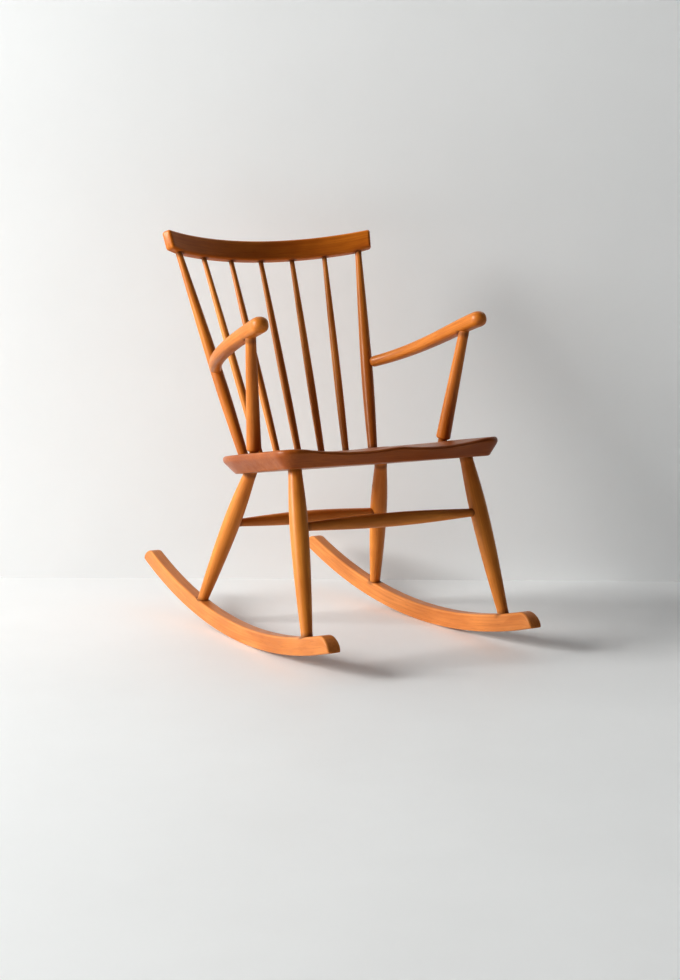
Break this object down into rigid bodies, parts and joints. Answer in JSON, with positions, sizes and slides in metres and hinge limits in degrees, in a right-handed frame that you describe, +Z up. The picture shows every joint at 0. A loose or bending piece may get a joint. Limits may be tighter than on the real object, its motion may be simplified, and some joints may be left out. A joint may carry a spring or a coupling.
{
  "type": "rocking chair",
  "caption": "Low-backed wooden rocking chair with a dished seat, a spindle back under a curved crest rail, open bowed arms and turned legs on long rockers",
  "frame": {"origin": "On the floor, under the middle of the chair's bounding box, with the rockers' lowest edges at z = 0", "axes": "+Z up; the sitter faces -Y; +X is the sitter's left side and the chair is symmetric about x = 0"},
  "size_m": [0.557, 0.906, 0.8527],
  "materials": {
    "seat": "satin lacquer",
    "rocker": "satin lacquer",
    "turned": "satin lacquer",
    "rail": "satin lacquer",
    "arm": "satin lacquer"
  },
  "bodies": {
    "root": {"seat": "seat", "left_rocker": "rocker", "right_rocker": "rocker", "left_front_leg": "turned", "right_front_leg": "turned", "left_rear_leg": "turned", "right_rear_leg": "turned", "front_stretcher": "turned", "rear_stretcher": "turned", "left_back_post": "turned", "right_back_post": "turned", "back_spindle_1": "turned", "back_spindle_2": "turned", "back_spindle_3": "turned", "back_spindle_4": "turned", "back_spindle_5": "turned", "left_arm_post": "turned", "right_arm_post": "turned", "crest_rail": "rail", "left_arm": "arm", "right_arm": "arm"}
  },
  "joints": []
}
